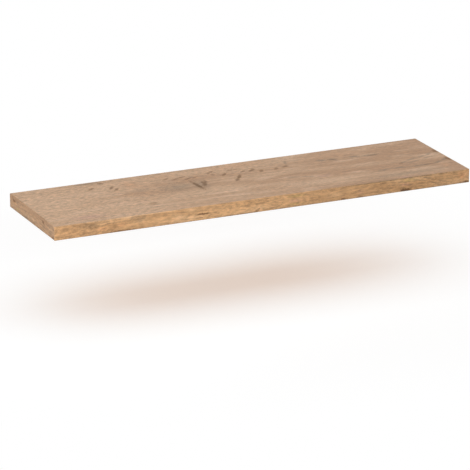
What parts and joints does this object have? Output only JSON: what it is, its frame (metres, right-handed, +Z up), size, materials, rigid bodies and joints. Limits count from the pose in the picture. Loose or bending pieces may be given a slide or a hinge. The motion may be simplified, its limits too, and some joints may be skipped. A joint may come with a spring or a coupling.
{
  "type": "wall shelf",
  "caption": "Floating wall shelf: a hollow oak-faced board that slides over a hidden steel rail with rods and is locked by set screws in its underside.",
  "frame": {"origin": "on the wall plane, at the middle of the steel rail's back face, which is also the middle of the board's length and thickness", "axes": "+X to the right along the shelf for someone facing the wall, +Y into the wall, +Z up"},
  "size_m": [1.15, 0.3, 0.036],
  "materials": {
    "oak_decor": "satin",
    "oak_edge": "satin",
    "chipboard": "matte",
    "core_paper": "matte",
    "staple_wire": "satin",
    "insert_brass": "satin",
    "screw_steel": "satin",
    "rail_steel": "satin"
  },
  "bodies": {
    "bracket": {"wall_rail": "rail_steel", "left_rod": "rail_steel", "centre_rod": "rail_steel", "right_rod": "rail_steel"},
    "board": {"top_skin": "oak_decor", "bottom_skin": "oak_decor", "front_edge_band": "oak_edge", "left_edge_band": "oak_edge", "right_edge_band": "oak_edge", "front_frame_rail": "chipboard", "left_frame_rail": "chipboard", "right_frame_rail": "chipboard", "back_frame_rail": "chipboard", "left_rod_stile": "chipboard", "centre_rod_stile": "chipboard", "right_rod_stile": "chipboard", "frame_staples": "staple_wire", "left_lock_insert": "insert_brass", "right_lock_insert": "insert_brass", "left_outer_honeycomb": "core_paper", "left_inner_honeycomb": "core_paper", "right_inner_honeycomb": "core_paper", "right_outer_honeycomb": "core_paper"},
    "left_lock": {"left_lock_screw": "screw_steel"},
    "right_lock": {"right_lock_screw": "screw_steel"}
  },
  "joints": [
    {"name": "board_slide", "type": "slide", "parent": "bracket", "child": "board", "axis": [0, -1, 0], "range_m": [0, 0.2]},
    {"name": "left_lock_travel", "type": "slide", "parent": "board", "child": "left_lock", "axis": [0, 0, -1], "range_m": [0, 0.006]},
    {"name": "right_lock_travel", "type": "slide", "parent": "board", "child": "right_lock", "axis": [0, 0, -1], "range_m": [0, 0.006]}
  ]
}
